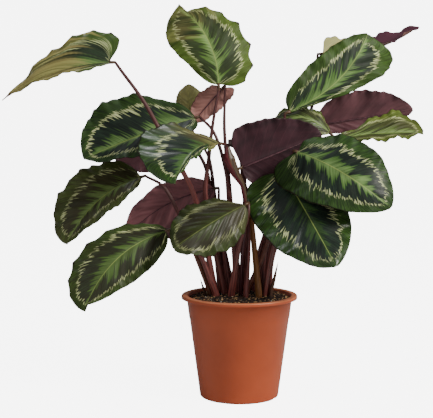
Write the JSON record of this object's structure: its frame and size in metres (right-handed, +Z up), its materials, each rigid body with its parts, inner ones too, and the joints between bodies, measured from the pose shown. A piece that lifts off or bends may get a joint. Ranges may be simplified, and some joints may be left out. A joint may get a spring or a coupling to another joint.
{
  "type": "potted calathea",
  "caption": "Potted calathea: round feather-marked leaves, green above and purple below, on long stalks that rise from soil in a tapered terracotta-coloured plastic nursery pot.",
  "frame": {"origin": "centre of the pot's flat base, on the surface that it stands on", "axes": "+Z up out of the pot, -Y towards the plant's front, +X to the right as seen from the front"},
  "size_m": [0.6746, 0.4475, 0.6414],
  "materials": {
    "pot": "satin moulded plastic, terracotta colour",
    "soil": "loose bark and peat potting mix",
    "blade": "satin pleated leaf, feather-marked green above and purple below",
    "stalk": "smooth maroon-brown leaf stalk",
    "young_leaf": "satin red rolled young leaf",
    "dry_sheath": "dry papery sheath"
  },
  "bodies": {
    "root": {"pot": "pot", "soil": "soil", "leaf_top_left": "blade", "leaf_crown": "blade", "leaf_left_upper": "blade", "leaf_mid_front": "blade", "leaf_centre_back": "blade", "leaf_right_front": "blade", "leaf_right_low": "blade", "leaf_right_top": "blade", "leaf_right_far": "blade", "leaf_right_upright": "blade", "leaf_right_edge": "blade", "leaf_right_inner": "blade", "leaf_left_middle": "blade", "leaf_left_low": "blade", "leaf_front_low": "blade", "leaf_left_back": "blade", "leaf_back_left": "blade", "leaf_top_khaki": "blade", "leaf_top_back": "blade", "leaf_back_right": "blade", "leaf_back_centre": "blade", "leaf_back_low_left": "blade", "leaf_back_low_right": "blade", "leaf_young": "young_leaf", "stalk_top_left": "stalk", "stalk_crown": "stalk", "stalk_left_upper": "stalk", "stalk_mid_front": "stalk", "stalk_centre_back": "stalk", "stalk_right_front": "stalk", "stalk_right_low": "stalk", "stalk_right_top": "stalk", "stalk_right_far": "stalk", "stalk_right_upright": "stalk", "stalk_right_edge": "stalk", "stalk_right_inner": "stalk", "stalk_left_middle": "stalk", "stalk_left_low": "stalk", "stalk_front_low": "stalk", "stalk_left_back": "stalk", "stalk_back_left": "stalk", "stalk_top_khaki": "stalk", "stalk_top_back": "stalk", "stalk_back_right": "stalk", "stalk_back_centre": "stalk", "stalk_back_low_left": "stalk", "stalk_back_low_right": "stalk", "dry_sheath_right": "dry_sheath", "dry_sheath_left": "dry_sheath"}
  },
  "joints": []
}
